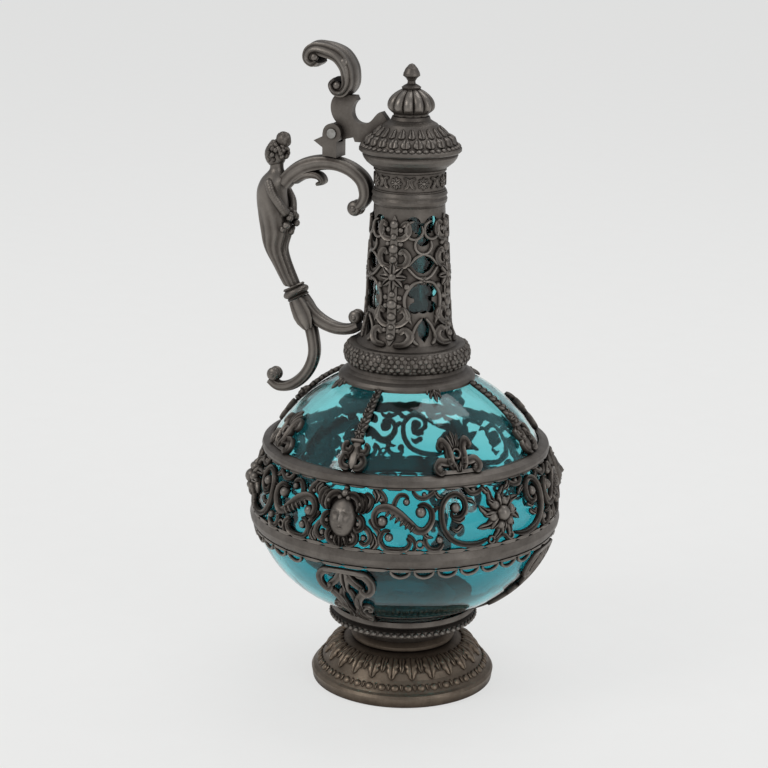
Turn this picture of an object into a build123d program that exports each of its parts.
from build123d import *
from math import asin, atan2, ceil, cos, degrees, hypot, radians, sin, sqrt
import os

# Claret jug: a blown glass bottle held in cast pewter mounts, with a scrolled handle and a hinged lid.
# Millimetres, +Z up, origin on the jug's axis at the foot's resting plane, handle towards -X.

# Glass bottle
belly_radius = 89.0  # widest radius of the blown belly
belly_height = 109.0  # height of that widest circle
belly_rise = 87.0  # from the widest circle up to where the belly would close
belly_drop = 66.0  # from the widest circle down to where it would close
glass_wall = 3.0
glass_base = 46.0  # height of the flat that the bottle stands on
shoulder_height = 188.0  # where the belly's curve turns up into the neck
flare_low = 194.0
flare_low_radius = 31.0
flare_high = 202.0
flare_high_radius = 25.6
neck_foot = 214.0  # where the neck becomes a straight taper
neck_foot_radius = 22.3
neck_top_radius = 17.8
glass_top = 304.0

# Fits
cast_gap = 0.4  # between the glass and the castings round it
seat_gap = 0.05  # between castings that are soldered together
lid_gap = 0.3  # between the closed lid and the rim below it
cheek_gap = 0.3  # on each side of the lid's knuckle, between the ears
pin_play = 0.05  # radial play of the lid's knuckle on its pin
ear_play = 0.02  # radial play of the pin in the two ears
stud_play = 0.15  # radial play of a stud or bolt in its hole

# Foot
foot_radius = 55.0
foot_rim = 7.6
foot_land = 5.0  # width of the ring that the jug stands on
foot_wall = 2.6
foot_top = 25.5
waist_radius = 30.6
waist_top = 31.0
cup_radius = 43.8
cup_top = 49.5
cup_wall = 2.2
bolt_radius = 3.0
bolt_head = 8.0
washer_radius = 9.0
washer_height = 1.6
nut_across = 10.0
nut_height = 5.0

# Belt round the belly
lower_ring_foot = 100.3
lower_ring_head = 109.3
lower_ring_proud = 3.0
upper_ring_foot = 145.0
upper_ring_head = 151.0
upper_ring_proud = 4.6
openwork = 2.2  # thickness of the pierced castings
rail = 1.7  # height of the plain edges of a belt panel
boss_plate = 2.4  # thickness of the plates under the masks and the fruit
masks = 3  # the first one faces -Y
fringe_loops = 42
fringe_squash = 0.85  # depth of a loop as a share of its half width
fringe_wall = 1.6
drop_clear = 13.0  # degrees on either side of a drop without a loop

# Shoulder and underside ornaments
ornaments = 4  # straps and drops at the front, sides and back; crests halfway between them
strap_width = 7.0

# Neck
collar_foot = 189.0
collar_radius = 40.0
torus_foot = 196.3
torus_head = 208.6
torus_radius = 36.5
sleeve_head = 290.0
sleeve_wall = 1.5
sleeve_flare = 29.6
ring_radius = 21.7
ring_head = 298.2
band_radius = 20.6
band_head = 310.8
bowl_radius = 27.4
bowl_head = 319.7
bowl_wall = 2.0
bowl_throat = 15.2

# Handle, in its own upright plane
handle_width = 9.0
arch_width = 11.0
ball_radius = 4.6
tail_ball = 4.1
post_width = 13.0
post_depth = 8.8
rivet_radius = 2.8
rivet_height = 0.8
head_radius = 8.0
bun_radius = 4.8
pin_x = -46.5
pin_z = 327.5
pin_radius = 1.8
ear_radius = 5.7
knuckle_radius = 5.2

# Lid
lid_radius = 29.4
lid_rim = 3.0
lid_wall = 2.2
lid_top = 340.0
lid_register = 24.4  # radius of the ring that drops into the bowl
knop_neck = 10.7
knop_radius = 13.6
knop_head = 355.4
lobes = 12
stud_radius = 2.0
stud_foot = 333.0
finial_top = 369.7
finial_nut_height = 3.4
finial_nut_across = 7.0
arm_width = 5.2
thumb_width = 18.0
thumb_foot = 349.6

os.makedirs("parts", exist_ok=True)


def belly_arc(start, end, out=0.0):
    """Draw the belly's outline between two heights on one side of its widest circle."""
    reach = (belly_rise if start + end > 2 * belly_height else belly_drop) + out
    first = degrees(asin((start - belly_height) / reach))
    last = degrees(asin((end - belly_height) / reach))
    return EllipticalCenterArc(
        (0, belly_height), belly_radius + out, reach, start_angle=first, arc_size=last - first
    )


def belly(height, out=0.0):
    """Radius of the belly at a height, on a skin that stands out from it."""
    reach = (belly_rise if height > belly_height else belly_drop) + out
    return (belly_radius + out) * sqrt(1 - ((height - belly_height) / reach) ** 2)


def neck_points(out=0.0):
    """Corners of the flares from the shoulder up into the straight neck, hidden under the collar."""
    return [
        (belly(shoulder_height, out), shoulder_height),
        (flare_low_radius + out, flare_low),
        (flare_high_radius + out, flare_high),
        (neck_foot_radius + out, neck_foot),
        (neck_top_radius + out, glass_top),
    ]


def glass_radius(height, out=0.0):
    """Radius of the bottle at a height, on a skin that stands out from it."""
    if height <= shoulder_height:
        return belly(height, out)
    corners = neck_points(out)
    for (r0, z0), (r1, z1) in zip(corners, corners[1:]):
        if height <= z1:
            return r0 + (r1 - r0) * (height - z0) / (z1 - z0)
    return neck_top_radius + out


def belly_skin(start, end, inner, outer, arc=360.0):
    """Shell of straight bands round the belly, centred on the front where it isn't a full turn."""
    reach = belly_rise if start + end > 2 * belly_height else belly_drop
    span = asin((end - belly_height) / reach) - asin((start - belly_height) / reach)
    bands = ceil(span / radians(12))
    sag = belly_radius * (1 - cos(span / bands / 2))
    sides = []
    for out in (inner + sag, outer + sag):
        first = asin((start - belly_height) / (reach + out))
        last = asin((end - belly_height) / (reach + out))
        angles = [first + (last - first) * i / bands for i in range(bands + 1)]
        sides.append([((belly_radius + out) * cos(a), belly_height + (reach + out) * sin(a)) for a in angles])
    with BuildPart() as skin:
        with BuildSketch(Plane.XZ):
            with BuildLine():
                Polyline(*sides[0], *sides[1][::-1], close=True)
            make_face()
        revolve(axis=Axis.Z, revolution_arc=arc)
    return skin.part.rotate(Axis.Z, -90 - arc / 2)


def facing(azimuth, height):
    """Upright plane through the axis height that looks outwards at an azimuth."""
    a = radians(azimuth)
    return Plane(origin=(0, 0, height), x_dir=(cos(a), sin(a), 0), z_dir=(sin(a), -cos(a), 0))


def tangent_plane(azimuth, height):
    """Plane that touches the bottle's outside, with its y axis up the slope."""
    step = 0.5
    rise = glass_radius(height + step) - glass_radius(height - step)
    lean = atan2(-rise, 2 * step)
    a = radians(azimuth)
    radius = glass_radius(height)
    normal = (sin(a) * cos(lean), -cos(a) * cos(lean), sin(lean))
    return Plane(origin=(radius * sin(a), -radius * cos(a), height), x_dir=(cos(a), sin(a), 0), z_dir=normal)


def strip(points, widths):
    """Left and right edge points of a strip along a centre line that takes the widths in turn."""
    left, right = [], []
    last = len(points) - 1
    for i, (x, y) in enumerate(points):
        before, after = points[max(i - 1, 0)], points[min(i + 1, last)]
        dx, dy = after[0] - before[0], after[1] - before[1]
        share = i / last * (len(widths) - 1)
        k = min(int(share), len(widths) - 2)
        half = (widths[k] + (widths[k + 1] - widths[k]) * (share - k)) / 2
        nx, ny = -dy / hypot(dx, dy) * half, dx / hypot(dx, dy) * half
        left.append((x + nx, y + ny))
        right.append((x - nx, y - ny))
    return left, right


def ribbon(points, widths, start_eye=0.0, end_eye=0.0):
    """Flat ribbon with smooth edges, and a round eye at either end."""
    left, right = strip(points, widths)
    with BuildSketch() as shape:
        with BuildLine():
            Spline(*left)
            Line(left[-1], right[-1])
            Spline(*right)
            Line(right[0], left[0])
        make_face()
        if start_eye:
            with Locations(points[0]):
                Circle(start_eye)
        if end_eye:
            with Locations(points[-1]):
                Circle(end_eye)
    return shape.sketch


def volute(centre, radius, leave, turn, eye_share=0.3, count=4):
    """Points of a spiral that leaves a volute at an angle, listed from its rim to its eye."""
    points = []
    for i in range(count):
        share = i / (count - 1)
        r = radius * (1 - (1 - eye_share) * share)
        a = radians(leave + turn * share)
        points.append((centre[0] + r * cos(a), centre[1] + r * sin(a)))
    return points


def leaf(start, end, width):
    """Pointed leaf between two points."""
    dx, dy = end[0] - start[0], end[1] - start[1]
    half = width / 2 / hypot(dx, dy)
    shoulders = [(0.25, 0.8), (0.5, 1.0), (0.75, 0.7)]
    left = [(start[0] + dx * t - dy * half * w, start[1] + dy * t + dx * half * w) for t, w in shoulders]
    right = [(start[0] + dx * t + dy * half * w, start[1] + dy * t - dx * half * w) for t, w in shoulders]
    with BuildSketch() as shape:
        with BuildLine():
            Polyline(start, *left, end, *right[::-1], close=True)
        make_face()
    return shape.sketch


def save(builder, name):
    """Label a finished piece and write it."""
    builder.part.label = name
    export_step(builder.part, f"parts/{name}.step")


# Glass bottle -----------------------------------------------------------------------------------
with BuildPart() as glass_bottle:
    floor = glass_base + glass_wall
    with BuildSketch(Plane.XZ):
        with BuildLine():
            for skin, foot in ((0, glass_base), (-glass_wall, floor)):
                belly_arc(foot, belly_height, skin)
                belly_arc(belly_height, shoulder_height, skin)
                Polyline(*neck_points(skin))
            Line((neck_top_radius, glass_top), (neck_top_radius - glass_wall, glass_top))
            Polyline(
                (belly(floor, -glass_wall), floor),
                (0, floor + glass_wall),
                (0, glass_base + glass_wall / 2),
                (belly(glass_base), glass_base),
            )
        make_face()
    revolve(axis=Axis.Z)
save(glass_bottle, "glass_bottle")

# Foot -------------------------------------------------------------------------------------------
land_radius = foot_radius - 2.5
web_foot = foot_top - foot_wall
bolt_hole = bolt_radius + stud_play
dome = [(52.5, 8.6), (50.2, 10.8), (46.8, 14.6), (44.9, 17.8), (42.2, 20.6), (38.2, 23.0), (33.4, 24.8)]
with BuildPart() as foot_base:
    with BuildSketch(Plane.XZ):
        with BuildLine():
            Polyline(
                (land_radius, 0),
                (foot_radius - 0.8, 0.9),
                (foot_radius, foot_rim - 1.6),
                (foot_radius - 1.0, foot_rim),
                *dome,
                (waist_radius, foot_top),
                (bolt_hole, foot_top),
                (bolt_hole, web_foot),
                (waist_radius - foot_wall, web_foot),
                (42.0, 15.0),
                (44.0, 12.4),
                (land_radius - foot_land, 6.0),
                (land_radius - foot_land, 0),
                (land_radius, 0),
            )
        make_face()
    revolve(axis=Axis.Z)
save(foot_base, "foot_base")

with BuildPart() as waist_ring:
    foot = foot_top + seat_gap
    with BuildSketch(Plane.XZ):
        with BuildLine():
            Polyline(
                (bolt_hole, foot),
                (waist_radius - 0.8, foot),
                (waist_radius + 0.4, foot + 1.2),
                (waist_radius + 0.4, foot + 3.0),
                (waist_radius - 1.0, foot + 4.4),
                (waist_radius - 2.0, waist_top),
                (bolt_hole, waist_top),
                (bolt_hole, foot),
            )
        make_face()
    revolve(axis=Axis.Z)
save(waist_ring, "waist_ring")

# The cup's inside follows the bottle's underside, with room for plaster between them.
plaster_gap = 1.2
cup_floor = waist_top + seat_gap + 3.0
cup_inner = cup_radius - cup_wall
bead_radius = cup_radius - 0.4
with BuildPart() as calyx_cup:
    foot = waist_top + seat_gap
    with BuildSketch(Plane.XZ):
        with BuildLine():
            Polyline(
                (bolt_hole, foot),
                (waist_radius - 2.0, foot),
                (waist_radius + 0.4, 35.6),
                (39.0, 38.4),
                (bead_radius - 0.6, 39.6),
                (bead_radius, 41.2),
                (bead_radius - 0.6, 42.8),
                (41.2, 44.0),
                (cup_radius, 46.4),
                (cup_radius, cup_top),
                (cup_inner + 0.6, cup_top),
                (cup_inner - 2.0, 43.0),
                (waist_radius - 1.0, 38.4),
                (26.0, cup_floor),
                (bolt_hole, cup_floor),
                (bolt_hole, foot),
            )
        make_face()
    revolve(axis=Axis.Z)
save(calyx_cup, "calyx_cup")

with BuildPart() as foot_bolt:
    head_foot = cup_floor + seat_gap
    shank_foot = web_foot - washer_height - nut_height - 3.0
    with BuildSketch(Plane.XY.offset(head_foot)):
        Circle(bolt_head)
    extrude(amount=2.2)
    with BuildSketch(Plane.XY.offset(shank_foot)):
        Circle(bolt_radius)
    extrude(amount=head_foot - shank_foot)
    chamfer(foot_bolt.edges().sort_by(Axis.Z)[0], 0.6)
save(foot_bolt, "foot_bolt")

with BuildPart() as foot_washer:
    with BuildSketch(Plane.XY.offset(web_foot - seat_gap - washer_height)):
        Circle(washer_radius)
        Circle(bolt_hole, mode=Mode.SUBTRACT)
    extrude(amount=washer_height)
save(foot_washer, "foot_washer")

with BuildPart() as foot_nut:
    with BuildSketch(Plane.XY.offset(web_foot - 2 * seat_gap - washer_height - nut_height)):
        RegularPolygon(nut_across / 2, 6, major_radius=False)
        Circle(bolt_radius + ear_play, mode=Mode.SUBTRACT)
    extrude(amount=nut_height)
save(foot_nut, "foot_nut")

with BuildPart() as plaster_bed:
    bed_radius = cup_inner - 3.2
    pocket = bolt_head + 0.5
    pocket_head = cup_floor + seat_gap + 2.7
    with BuildSketch(Plane.XZ):
        with BuildLine():
            rise = belly_arc(glass_base - 3 * seat_gap, glass_base + 1.5, 3 * seat_gap)
            Polyline((pocket, cup_floor + seat_gap), (25.4, cup_floor + seat_gap), (29.0, 38.8), rise @ 1)
            Polyline(
                rise @ 0,
                (0, glass_base + glass_wall / 2 - 3 * seat_gap),
                (0, pocket_head),
                (pocket, pocket_head),
                (pocket, cup_floor + seat_gap),
            )
        make_face()
    revolve(axis=Axis.Z)
save(plaster_bed, "plaster_bed")

# Belt -------------------------------------------------------------------------------------------
openwork_outer = cast_gap + openwork
belt_foot = lower_ring_head + seat_gap
belt_head = upper_ring_foot - seat_gap
belt_mid = (belt_foot + belt_head) / 2
belt_half = (belt_head - belt_foot) / 2

with BuildPart() as lower_ring:
    proud = belly_radius + lower_ring_proud
    inner_head = glass_radius(lower_ring_head, cast_gap)
    with BuildSketch(Plane.XZ):
        with BuildLine():
            belly_arc(lower_ring_foot, belly_height, cast_gap)
            belly_arc(belly_height, lower_ring_head, cast_gap)
            Polyline(
                (inner_head, lower_ring_head),
                (inner_head + 1.6, lower_ring_head),
                (proud - 0.7, lower_ring_head - 1.5),
                (proud, lower_ring_head - 4.2),
                (proud - 0.5, lower_ring_foot + 2.2),
                (proud - 2.0, lower_ring_foot),
                (glass_radius(lower_ring_foot, cast_gap), lower_ring_foot),
            )
        make_face()
    revolve(axis=Axis.Z)
save(lower_ring, "lower_ring")

with BuildPart() as upper_ring:
    inner_foot = glass_radius(upper_ring_foot, cast_gap)
    inner_head = glass_radius(upper_ring_head, cast_gap)
    proud = glass_radius((upper_ring_foot + upper_ring_head) / 2, upper_ring_proud)
    with BuildSketch(Plane.XZ):
        with BuildLine():
            belly_arc(upper_ring_foot, upper_ring_head, cast_gap)
            Polyline(
                (inner_head, upper_ring_head),
                (inner_head + 1.8, upper_ring_head),
                (proud - 0.6, upper_ring_head - 1.6),
                (proud, upper_ring_head - 3.6),
                (proud - 0.3, upper_ring_foot + 0.8),
                (proud - 1.4, upper_ring_foot),
                (inner_foot, upper_ring_foot),
            )
        make_face()
    revolve(axis=Axis.Z)
save(upper_ring, "upper_ring")


# Openings of half a belt panel, flat, from the mask on the left to the fruit on the right. What is
# left between them is the scrollwork: C-scrolls by the mask, an S-scroll with a hook over a low
# C-scroll in the middle, and a large round scroll about the fruit.
belt_windows = [
    [(-37.5, 7.0), (-32.5, 6.0), (-30.0, 10.5), (-33.0, 14.6), (-37.5, 13.0)],
    [(-38.0, -4.0), (-33.0, -3.0), (-29.8, -7.5), (-32.0, -13.0), (-37.5, -13.6)],
    [(-27.0, 15.4), (-25.0, 9.4), (-19.5, 8.6), (-17.5, 10.6), (-20.5, 15.4)],
    [(-24.6, -4.4), (-19.6, -2.4), (-14.4, -6.6), (-17.0, -9.6), (-23.6, -9.0)],
    [(-14.0, 15.4), (-13.4, 7.4), (-6.0, -1.6), (-2.0, -3.2), (2.0, -0.6), (2.8, 4.0), (-2.0, 4.6), (-5.6, 9)],
    [(-14.6, -13.4), (-11.6, -9.6), (-5.0, -10.2), (-3.6, -13.6), (-8.0, -15.2)],
    [(1.4, 15.4), (6.4, 12.4), (8.6, 3.4), (10.6, 9.4), (8.6, 15.4)],
    [(3.6, -9.2), (8.2, -3.2), (9.8, -8.0), (10.4, -15.4), (5.2, -15.4)],
    [(12.8, 15.4), (14.6, 10.4), (18.0, 15.4)],
    [(15.4, 2.0), (20.0, 1.0), (27.0, 8.6), (31.0, 13.8), (23.0, 13.4), (17.8, 9.4)],
    [(15.4, -2.4), (20.0, -1.4), (27.0, -8.6), (31.0, -13.8), (23.0, -13.6), (17.4, -9.0)],
    [(34.0, 15.4), (36.6, 11.6), (40.4, 15.4)],
    [(34.0, -15.4), (36.6, -11.6), (40.4, -15.4)],
]


sector = 180 / masks
seam = degrees(seat_gap / belly_radius)
with BuildPart() as panel_form:
    add(belly_skin(belt_foot, belt_head, cast_gap, openwork_outer, 2 * sector - seam))
    for side in (1, -1):
        plane = facing(side * sector / 2, belt_mid).offset(belly_radius - 30)
        with BuildSketch(plane):
            for outline in belt_windows:
                with BuildLine():
                    Polyline(*[(side * x, y) for x, y in outline], close=True)
                make_face()
        extrude(amount=60, mode=Mode.SUBTRACT)

boss_seat = openwork_outer + seat_gap
boss_plane = tangent_plane(0, belt_mid).offset(boss_seat)


def boss(outline, lumps):
    """Boss seated on the belt: a plate with an outline, and (x, y, radius, rise) rounds on it."""
    with BuildPart() as plate:
        with BuildSketch(boss_plane.offset(-10)):
            add(outline)
        extrude(amount=20)
        add(belly_skin(belt_foot, belt_head, boss_seat, boss_seat + boss_plate), mode=Mode.INTERSECT)
    with BuildPart() as relief:
        for x, y, radius, rise in lumps:
            with Locations(boss_plane * Pos(x, y, rise - radius)):
                Sphere(radius)
        add(belly_skin(belt_foot, belt_head, boss_seat, boss_seat + 10), mode=Mode.INTERSECT)
    return plate.part + relief.part


with BuildSketch() as mask_outline:
    Circle(11.5)
    with Locations((-9.5, 6), (9.5, 6)):
        Circle(5.2)
    with Locations((-9, -8.5), (9, -8.5)):
        Circle(5.6)
    with Locations((0, 12.6), (0, -12.4)):
        Circle(4.4)
mask_rounds = [(0, 0, 12, 5.5), (0, 0.5, 2.4, 7.2), (-4.5, -2.8, 4, 6.2), (4.5, -2.8, 4, 6.2)]
mask_form = boss(mask_outline.sketch, mask_rounds)

with BuildSketch() as fruit_outline:
    for angle in range(0, 360, 60):
        tip = (18 * cos(radians(angle)), 17 * sin(radians(angle)))
        add(leaf((0, 0), tip, 11))
    Circle(10)
fruits = [(0, 0, 5, 7.5)] + [(7.5 * cos(radians(a)), 7 * sin(radians(a)), 4, 5.4) for a in range(30, 390, 90)]
fruit_form = boss(fruit_outline.sketch, fruits)

for i in range(masks):
    with BuildPart() as belt_panel:
        add(panel_form.part.rotate(Axis.Z, 2 * sector * i))
    save(belt_panel, f"belt_panel_{i + 1}")
    with BuildPart() as mask_boss:
        add(mask_form.rotate(Axis.Z, 2 * sector * i))
    save(mask_boss, f"mask_boss_{i + 1}")
    with BuildPart() as fruit_boss:
        add(fruit_form.rotate(Axis.Z, 2 * sector * i + sector))
    save(fruit_boss, f"fruit_boss_{i + 1}")

# The fringe hangs from the lower ring and stops on either side of each drop.
pitch = 360 / fringe_loops
loop_radius = belly_radius * sin(radians(pitch / 2)) + 0.3
fringe_head = lower_ring_foot - seat_gap
fringe_rail = fringe_head - 1.0
loop_arc = [(cos(radians(a)), sin(radians(a))) for a in range(180, 361, 36)]
with BuildPart() as scallop_fringe:
    add(belly_skin(fringe_rail, fringe_head, cast_gap, cast_gap + fringe_wall))
    for i in range(fringe_loops):
        azimuth = (i + 0.5) * pitch
        beside = min(azimuth % 90, 90 - azimuth % 90)
        if beside > drop_clear:
            with BuildSketch(tangent_plane(azimuth, fringe_rail + 0.5).offset(cast_gap)):
                with BuildLine():
                    outer = [(loop_radius * x, loop_radius * y * fringe_squash) for x, y in loop_arc]
                    inner_radius = loop_radius - fringe_wall
                    inner = [(inner_radius * x, inner_radius * y * fringe_squash) for x, y in loop_arc]
                    Polyline(*outer, *inner[::-1], close=True)
                make_face()
            extrude(amount=fringe_wall)
save(scallop_fringe, "scallop_fringe")

# Shoulder and underside ornaments ---------------------------------------------------------------
shoulder_foot = upper_ring_head + seat_gap
collar_seat = collar_foot - 1.6


def outline_pair(right):
    """Closed symmetric outline from the points of its right side, from top to bottom."""
    with BuildSketch() as shape:
        with BuildLine():
            Polyline(*right, *[(-x, y) for x, y in right[::-1] if x > 0], close=True)
        make_face()
    return shape.sketch


crest_side = [
    (0.0, 13.0),
    (3.4, 12.4),
    (5.0, 9.6),
    (9.6, 8.4),
    (11.6, 4.8),
    (9.6, 1.4),
    (6.0, 0.6),
    (6.2, -3.8),
    (9.4, -6.2),
    (13.0, -5.4),
    (15.4, -8.6),
    (14.4, -12.4),
    (8.0, -14.6),
    (0.0, -15.0),
]
with BuildPart() as crest_form:
    with BuildSketch(tangent_plane(0, 161).offset(-12)):
        add(outline_pair(crest_side))
        with Locations((0, -0.6)):
            RegularPolygon(1.7, 6, mode=Mode.SUBTRACT)
        for side in (1, -1):
            with Locations((side * 3.8, -8.6), (side * 7.0, 4.4)):
                RegularPolygon(1.6, 5, mode=Mode.SUBTRACT)
    extrude(amount=24)
    add(belly_skin(shoulder_foot, collar_seat, cast_gap, openwork_outer), mode=Mode.INTERSECT)

with BuildPart() as strap_form:
    with BuildSketch(Plane.XY.offset(shoulder_foot)):
        with Locations((0, -belly_radius / 2)):
            Rectangle(strap_width, belly_radius + 20)
    extrude(amount=collar_seat - shoulder_foot)
    with BuildSketch(tangent_plane(0, 158).offset(-12)):
        add(outline_pair([(0, 8), (6, 6), (8.6, 3), (4.4, -1.4), (8, -5.4), (8.8, -12), (0, -12)]))
    extrude(amount=24)
    add(belly_skin(shoulder_foot, collar_seat, cast_gap, openwork_outer), mode=Mode.INTERSECT)
    split(bisect_by=Plane.XZ.offset(10), keep=Keep.TOP)


drop_side = [
    (0.0, 34.0),
    (12.0, 34.0),
    (16.6, 24.0),
    (17.6, 18.0),
    (15.0, 11.4),
    (9.4, 8.6),
    (6.8, 2.4),
    (10.0, 1.8),
    (13.8, -1.0),
    (12.4, -4.6),
    (8.4, -5.4),
    (8.0, -10.0),
    (10.6, -20.0),
    (6.4, -22.0),
    (4.6, -30.0),
    (4.0, -56.0),
    (0.0, -56.0),
]
drop_windows = [
    [(4.4, 25.6), (3.2, 21.0), (9.6, 16.6), (12.6, 20.0), (10.0, 25.6)],
    [(0.8, 15.0), (5.0, 11.6), (3.6, 2.0), (0.8, -8.0)],
    [(11.4, 14.6), (13.4, 12.6), (14.6, 15.2), (12.8, 16.8)],
    [(4.6, -3.6), (8.0, -2.6), (5.4, -8.4)],
]
with BuildPart() as drop_form:
    with BuildSketch(tangent_plane(0, 74).offset(-20)):
        add(outline_pair(drop_side))
        with BuildSketch(mode=Mode.SUBTRACT):
            for side in (1, -1):
                for outline in drop_windows:
                    with BuildLine():
                        Polyline(*[(side * x, y) for x, y in outline], close=True)
                    make_face()
    extrude(amount=40)
    add(belly_skin(cup_top + seat_gap, fringe_rail - seat_gap, cast_gap, openwork_outer), mode=Mode.INTERSECT)

for i in range(ornaments):
    turn = 360 / ornaments * i
    with BuildPart() as shoulder_strap:
        add(strap_form.part.rotate(Axis.Z, turn))
    save(shoulder_strap, f"shoulder_strap_{i + 1}")
    with BuildPart() as shoulder_crest:
        add(crest_form.part.rotate(Axis.Z, turn + 180 / ornaments))
    save(shoulder_crest, f"shoulder_crest_{i + 1}")
    with BuildPart() as lower_drop:
        add(drop_form.part.rotate(Axis.Z, turn))
    save(lower_drop, f"lower_drop_{i + 1}")

# Neck -------------------------------------------------------------------------------------------
with BuildPart() as collar_flange:
    with BuildSketch(Plane.XZ):
        with BuildLine():
            Polyline(
                (glass_radius(collar_seat + seat_gap, cast_gap), collar_seat + seat_gap),
                (collar_radius, collar_seat + seat_gap),
                (collar_radius, collar_foot),
                (38.8, 190.6),
                (36.2, 192.2),
                (34.4, 194.2),
                (33.8, torus_foot - seat_gap),
                (glass_radius(torus_foot, cast_gap) + 0.6, torus_foot - seat_gap),
                (glass_radius(191, cast_gap) + 0.4, 191),
                (glass_radius(shoulder_height, cast_gap) + 0.3, shoulder_height),
                close=True,
            )
        make_face()
    revolve(axis=Axis.Z)
save(collar_flange, "collar_flange")

with BuildPart() as collar_torus:
    with BuildSketch(Plane.XZ):
        with BuildLine():
            Polyline(
                (glass_radius(torus_foot, cast_gap) + 0.6, torus_foot),
                (33.6, torus_foot),
                (35.8, 198.8),
                (torus_radius, 201.4),
                (torus_radius, 203.4),
                (35.6, 206.2),
                (33.2, torus_head),
                (glass_radius(flare_high, cast_gap) + 0.4, torus_head),
                (glass_radius(flare_high, cast_gap) + 0.4, flare_high),
                close=True,
            )
        make_face()
    revolve(axis=Axis.Z)
save(collar_torus, "collar_torus")

# The sleeve is pierced by the same windows on its four faces.
sleeve_foot = torus_head + seat_gap
sleeve_gap = cast_gap + 0.1
sleeve_outside = [
    (sleeve_flare, sleeve_foot),
    (26.8, 211.6),
    (24.9, 216.0),
    (glass_radius(222, sleeve_gap + sleeve_wall), 222),
    (glass_radius(sleeve_head, sleeve_gap + sleeve_wall), sleeve_head),
]
with BuildPart() as neck_sleeve:
    with BuildSketch(Plane.XZ):
        with BuildLine():
            Polyline(
                (glass_radius(sleeve_head, sleeve_gap), sleeve_head),
                (glass_radius(neck_foot, sleeve_gap) + 0.4, neck_foot),
                (sleeve_flare - 2.0, sleeve_foot),
                *sleeve_outside,
                close=True,
            )
        make_face()
    revolve(axis=Axis.Z)
    for i in range(ornaments):
        with BuildSketch(facing(360 / ornaments * (i + 0.5), 0)):
            # three-lobed light under the ring
            with Locations((-5.6, 281.5), (5.6, 281.5), (0, 273.0)):
                Circle(4.2)
            with Locations((0, 279.0)):
                Rectangle(10.0, 6.0)
            # small pointed light
            add(leaf((-7.8, 259.0), (7.8, 259.0), 12.0))
            # large five-lobed light
            with Locations((0, 239.5)):
                Ellipse(5.6, 9.5)
            with Locations((-6.0, 242.5), (6.0, 242.5), (-5.0, 233.5), (5.0, 233.5)):
                Circle(3.4)
            # low light that ends in a bar over the torus
            add(leaf((0, 213.5), (0, 228.0), 7.6))
        extrude(amount=40, mode=Mode.SUBTRACT)
save(neck_sleeve, "neck_sleeve")

with BuildPart() as neck_ring:
    with BuildSketch(Plane.XZ):
        with BuildLine():
            ring_bore = glass_radius(sleeve_head, cast_gap)
            Polyline(
                (ring_bore, sleeve_head + seat_gap),
                (20.4, sleeve_head + seat_gap),
                (21.4, 291.6),
                (ring_radius, 293.4),
                (ring_radius - 0.6, 295.0),
                (ring_radius, 296.4),
                (ring_radius - 0.6, ring_head),
                (ring_bore, ring_head),
                close=True,
            )
        make_face()
    revolve(axis=Axis.Z)
save(neck_ring, "neck_ring")

band_bore = glass_radius(ring_head, cast_gap)
with BuildPart() as neck_band:
    foot = ring_head + seat_gap
    with BuildSketch(Plane.XZ):
        with BuildLine():
            Polyline(
                (band_bore, foot),
                (band_radius, foot),
                (band_radius, foot + 0.8),
                (band_radius - 0.6, foot + 1.2),
                (band_radius - 0.6, band_head - 1.6),
                (band_radius + 0.3, band_head - 1.0),
                (band_radius + 0.3, band_head),
                (band_bore, band_head),
                close=True,
            )
        make_face()
    revolve(axis=Axis.Z)
save(neck_band, "neck_band")

with BuildPart() as mouth_bowl:
    foot = band_head + seat_gap
    spigot = band_bore - seat_gap
    inside = bowl_radius - bowl_wall
    with BuildSketch(Plane.XZ):
        with BuildLine():
            Polyline(
                (bowl_throat, glass_top + seat_gap),
                (spigot, glass_top + seat_gap),
                (spigot, foot),
                (band_radius, foot),
                (22.2, 312.0),
                (25.2, 314.4),
                (26.8, 316.6),
                (bowl_radius, 318.2),
                (bowl_radius - 0.4, bowl_head),
                (inside, bowl_head),
                (inside, 317.6),
                (23.6, 315.2),
                (20.0, 313.0),
                (bowl_throat + 0.8, 310.6),
                (bowl_throat, 308.6),
                close=True,
            )
        make_face()
    revolve(axis=Axis.Z)
save(mouth_bowl, "mouth_bowl")

# Handle -----------------------------------------------------------------------------------------
def upright(shape, width):
    """Extrude a flat shape to both sides of the handle's plane."""
    with BuildPart() as plate:
        with BuildSketch(Plane.XZ):
            add(shape)
        extrude(amount=width / 2, both=True)
    return plate.part


def turned(outline):
    """Solid of revolution inside an outline of (radius, height) points, to cut a seat with."""
    with BuildPart() as space:
        with BuildSketch(Plane.XZ):
            with BuildLine():
                Polyline((0, outline[0][1]), *outline, (0, outline[-1][1]), close=True)
            make_face()
        revolve(axis=Axis.Z)
    return space.part


arch_line = [
    (-33.6, 284.2),
    (-30.0, 287.0),
    (-26.4, 292.6),
    (-28.6, 300.4),
    (-35.8, 306.2),
    (-45.0, 309.2),
    (-55.2, 309.3),
    (-65.5, 306.5),
    (-73.6, 301.4),
    (-79.4, 295.4),
]
arch_widths = [4.5, 7.0, 9.6, 8.6, 8.8, 9.4, 9.8, 9.6]
with BuildPart() as handle_arch:
    add(upright(ribbon(arch_line, arch_widths, ball_radius), arch_width))
    hook = [(-63.5, 303.0), (-57.0, 301.4), (-54.6, 298.2), (-57.4, 296.8)]
    add(upright(ribbon(hook, [5.0, 3.6, 2.4], 0, 1.6), arch_width - 3))
    ring_seat = ring_radius + seat_gap
    band_seat = band_radius + 0.3 + seat_gap
    add(turned([(ring_seat, 280), (ring_seat, 298), (band_seat, 298), (band_seat, 315)]), mode=Mode.SUBTRACT)
save(handle_arch, "handle_arch")

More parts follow.
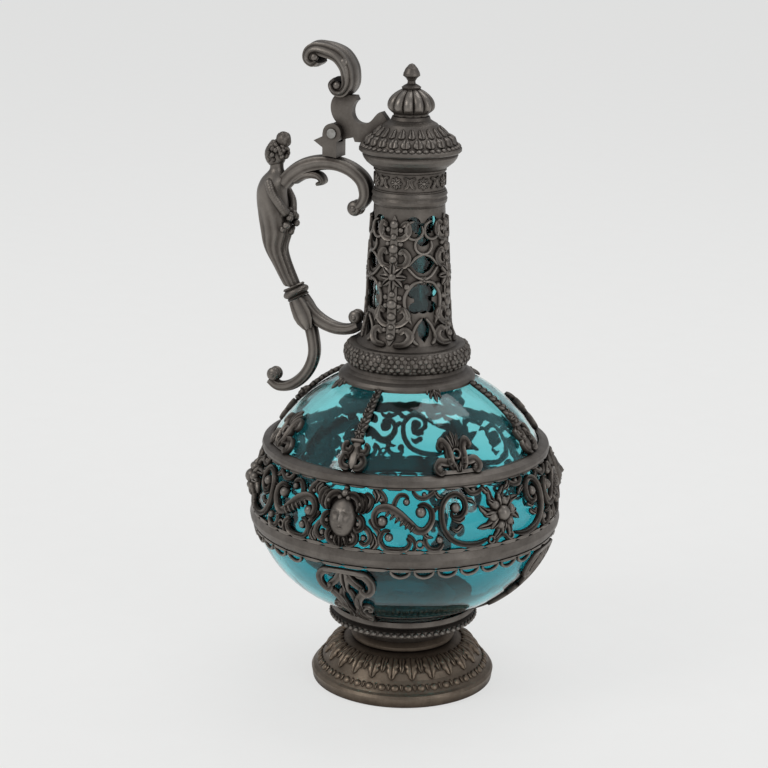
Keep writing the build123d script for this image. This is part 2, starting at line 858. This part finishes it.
# The handle's lower half leans along the line through the collar.
collar_centre = Vector(-72.1, 0, 230.5)
lean = Vector(13.3, 0, -26.0).normalized()
collar_plane = Plane(origin=collar_centre, x_dir=(0, 1, 0), z_dir=lean)
spindle_plane = Plane(origin=collar_centre, x_dir=lean, z_dir=(0, -1, 0))
spindle_axis = Axis(collar_centre, lean)
collar_half = 4.0
torso = [
    (-85.0, 307.0, 4.6, 4.4),
    (-84.6, 303.0, 4.0, 4.0),
    (-86.0, 297.0, 8.5, 9.0),
    (-88.4, 289.0, 9.5, 9.5),
    (-86.6, 276.0, 10.5, 8.5),
    (-85.2, 266.0, 10.2, 8.5),
    (-85.2, 256.0, 7.4, 7.0),
    (-80.6, 246.0, 6.2, 5.8),
    (-76.2, 237.0, 5.8, 5.5),
    (-72.4, 229.0, 5.4, 5.2),
]
with BuildPart() as handle_figure:
    for x, z, half_depth, half_width in torso:
        with BuildSketch(Plane.XY.offset(z)):
            with Locations((x, 0)):
                Ellipse(half_depth, half_width)
    loft()
    split(bisect_by=collar_plane.offset(-collar_half - seat_gap), keep=Keep.BOTTOM)
    with Locations((-85.4, 0, 312.0)):
        Sphere(head_radius)
    with Locations((-80.0, 0, 321.0)):
        Sphere(bun_radius)
    grown = [width + 2 * seat_gap for width in arch_widths]
    add(upright(ribbon(arch_line, grown), arch_width + 2 * seat_gap), mode=Mode.SUBTRACT)
save(handle_figure, "handle_figure")


with BuildPart() as handle_collar:
    with BuildSketch(spindle_plane):
        with BuildLine():
            Polyline(
                (-collar_half, 0),
                (-collar_half, 6.2),
                (-3.2, 6.9),
                (-2.3, 6.2),
                (-1.4, 7.4),
                (-0.5, 8.0),
                (0.5, 8.0),
                (1.4, 7.4),
                (2.3, 6.2),
                (3.2, 6.9),
                (collar_half, 6.2),
                (collar_half, 0),
                close=True,
            )
        make_face()
    revolve(axis=spindle_axis)
save(handle_collar, "handle_collar")

branch_line = [
    (-66.0, 224.0),
    (-59.8, 217.4),
    (-52.2, 213.2),
    (-44.0, 211.2),
    (-36.3, 211.9),
    (-30.0, 214.8),
    (-28.0, 219.4),
]
tail_line = [
    (-64.0, 216.0),
    (-60.9, 205.0),
    (-59.8, 195.0),
    (-62.4, 186.0),
    (-68.0, 178.2),
    (-75.7, 172.8),
    (-83.4, 171.6),
    (-89.0, 175.0),
]
with BuildPart() as handle_foot:
    with BuildSketch(spindle_plane):
        with BuildLine():
            start = collar_half + seat_gap
            Polyline(
                (start, 0),
                (start, 5.6),
                (9, 6.9),
                (14, 7.6),
                (18, 6.9),
                (22, 4.6),
                (24, 2.4),
                (24, 0),
                close=True,
            )
        make_face()
    revolve(axis=spindle_axis)
    add(upright(ribbon(branch_line, [8.0, 8.4, 7.6, 6.8, 6.6], 0, 0), handle_width))
    add(upright(ribbon(tail_line, [8.0, 7.4, 7.6, 7.0, 6.4, 5.4], 0, 0), handle_width - 1.5))
    with BuildSketch(Plane.XZ):
        with Locations((-32.4, 219.9)):
            Circle(tail_ball)
        with Locations((-86.2, 179.0)):
            Circle(tail_ball)
    extrude(amount=handle_width / 2, both=True)
    seat = [(radius + seat_gap, height) for radius, height in sleeve_outside]
    add(turned(seat), mode=Mode.SUBTRACT)
save(handle_foot, "handle_foot")

# Hinge ------------------------------------------------------------------------------------------
slot = arm_width + 2 * cheek_gap
with BuildPart() as hinge_post:
    with BuildSketch(Plane.XZ):
        with Locations((pin_x - 1.5, (pin_z + 308) / 2)):
            Rectangle(post_depth, pin_z - 308)
        with Locations((pin_x, pin_z)):
            Circle(ear_radius)
        with BuildLine():
            Polyline((-50.5, 326.4), (-58.0, 322.8), (-52.0, 318.8), (-48.0, 320.0), close=True)
        make_face()
    extrude(amount=post_width / 2, both=True)
    with BuildSketch(Plane.YZ.offset(pin_x - 15)):
        with Locations((0, pin_z - knuckle_radius - cheek_gap + 10)):
            Rectangle(slot, 20)
    extrude(amount=30, mode=Mode.SUBTRACT)
    with BuildSketch(Plane.XZ):
        with Locations((pin_x, pin_z)):
            Circle(pin_radius + ear_play)
    extrude(amount=post_width, both=True, mode=Mode.SUBTRACT)
    add(upright(ribbon(arch_line, grown), 2 * arch_width), mode=Mode.SUBTRACT)
save(hinge_post, "hinge_post")

with BuildPart() as hinge_pin:
    with BuildSketch(Plane.XZ):
        with Locations((pin_x, pin_z)):
            Circle(pin_radius)
    extrude(amount=post_width / 2 + seat_gap, both=True)
    for side in (1, -1):
        with BuildSketch(Plane.XZ.offset(side * (post_width / 2 + seat_gap))):
            with Locations((pin_x, pin_z)):
                Circle(rivet_radius)
        extrude(amount=side * rivet_height)
save(hinge_pin, "hinge_pin")

# Lid --------------------------------------------------------------------------------------------
lid_foot = bowl_head + lid_gap
web = 2.4  # thickness of the lid's crown, which the finial's stud goes through
stud_hole = stud_radius + stud_play
lid_outside = [
    (lid_radius - 0.8, lid_foot),
    (lid_radius, lid_foot + 0.8),
    (lid_radius, lid_foot + lid_rim - 0.8),
    (lid_radius - 1.0, lid_foot + lid_rim),
    (26.6, 323.8),
    (25.4, 325.6),
    (24.6, 327.6),
    (21.6, 329.4),
    (19.8, 330.9),
    (17.4, 333.2),
    (15.3, 335.8),
    (12.8, 337.2),
    (11.4, 338.2),
    (knop_neck, lid_top),
]
with BuildPart() as lid_cover:
    with BuildSketch(Plane.XZ):
        with BuildLine():
            Polyline(
                (lid_register - lid_wall, lid_foot - 2.0),
                (lid_register, lid_foot - 2.0),
                (lid_register, lid_foot),
                *lid_outside,
                (stud_hole, lid_top),
                (stud_hole, lid_top - web),
                (9.0, lid_top - web),
                (10.6, 335.4),
                (13.4, 333.4),
                (17.6, 328.8),
                (22.0, 325.8),
                (lid_register - lid_wall, 323.4),
                close=True,
            )
        make_face()
    revolve(axis=Axis.Z)
save(lid_cover, "lid_cover")

with BuildPart() as lid_arm:
    with BuildSketch(Plane.XZ):
        with BuildLine():
            sweep = [
                (-17.4, 341.4),
                (-19.9, 340.0),
                (-23.9, 335.6),
                (-29.3, 333.8),
                (-33.8, 335.6),
                (-35.7, 340.0),
                (-35.0, 344.0),
                (-32.4, 347.0),
            ]
            Spline(*sweep)
            Polyline(sweep[-1], (-33.6, thumb_foot), (-45.6, thumb_foot))
            back = Spline((-45.6, thumb_foot), (-48.6, 345.2), (-48.9, 340.4), (-46.6, 335.0), (-41.8, 331.4))
            underside = [(-41.8, 323.8), (-34.7, 325.5), (-33.7, 323.0), (-20.0, 323.0), (-13.0, 336.0)]
            Polyline(back @ 1, *underside, sweep[0])
        make_face()
        with Locations((pin_x, pin_z)):
            Circle(knuckle_radius)
            Circle(pin_radius + pin_play, mode=Mode.SUBTRACT)
    extrude(amount=arm_width / 2, both=True)
    lid_seat = [(radius + seat_gap, height + seat_gap) for radius, height in lid_outside]
    add(turned(lid_seat), mode=Mode.SUBTRACT)
save(lid_arm, "lid_arm")

thumb_points = (
    volute((-58.3, 370.0), 5.0, 80, 270, 0.42, 6)[::-1]
    + [(-50.0, 374.2), (-43.4, 371.6), (-38.6, 366.0), (-37.0, 360.4)]
    + volute((-42.6, 355.4), 5.4, 20, -290, 0.42, 6)
)
with BuildPart() as thumb_piece:
    with BuildSketch(Plane.XZ):
        add(ribbon(thumb_points, [3.6, 5.2, 7.0, 8.2, 7.2, 5.0, 3.6], 2.2, 2.2))
        with BuildLine():
            Polyline((-46.0, 348.0), (-34.4, 348.0), (-34.2, 354.0), (-42.6, 354.0), close=True)
        make_face()
        with Locations((-40.0, 344.0)):
            Rectangle(40, 2 * (thumb_foot + seat_gap - 344), mode=Mode.SUBTRACT)
    extrude(amount=thumb_width / 2, both=True)
save(thumb_piece, "thumb_piece")

with BuildPart() as lid_knop:
    foot = lid_top + seat_gap
    with BuildSketch(Plane.XZ):
        with BuildLine():
            Polyline(
                (stud_hole, foot),
                (knop_neck - 0.3, foot),
                (knop_neck - 0.5, 341.6),
                (knop_neck + 0.6, 342.6),
                (knop_radius - 0.4, 344.2),
                (knop_radius, 346.4),
                (knop_radius - 0.7, 349.0),
                (knop_radius - 2.6, 351.6),
                (knop_radius - 5.4, 353.8),
                (5.6, knop_head),
                (stud_hole, knop_head),
                close=True,
            )
        make_face()
    revolve(axis=Axis.Z)
    lobe_radius = 3.6
    with BuildSketch(Plane.XY.offset(foot)):
        Circle(knop_radius - lobe_radius + 1.0)
        with PolarLocations(knop_radius - lobe_radius, lobes):
            Circle(lobe_radius)
    extrude(amount=knop_head - foot, mode=Mode.INTERSECT)
save(lid_knop, "lid_knop")

with BuildPart() as lid_finial:
    foot = knop_head + seat_gap
    with BuildSketch(Plane.XZ):
        with BuildLine():
            Polyline(
                (0, stud_foot),
                (stud_radius, stud_foot),
                (stud_radius, foot),
                (5.2, foot),
                (5.6, 356.4),
                (4.2, 357.4),
                (2.4, 358.4),
                (2.2, 359.8),
                (3.2, 361.4),
                (4.9, 362.8),
                (4.7, 364.2),
                (3.5, 366.8),
                (1.5, 369.1),
                (0, finial_top),
                close=True,
            )
        make_face()
    revolve(axis=Axis.Z)
save(lid_finial, "lid_finial")

with BuildPart() as finial_nut:
    with BuildSketch(Plane.XY.offset(lid_top - web - seat_gap - finial_nut_height)):
        RegularPolygon(finial_nut_across / 2, 6, major_radius=False)
        Circle(stud_radius + ear_play, mode=Mode.SUBTRACT)
    extrude(amount=finial_nut_height)
save(finial_nut, "finial_nut")
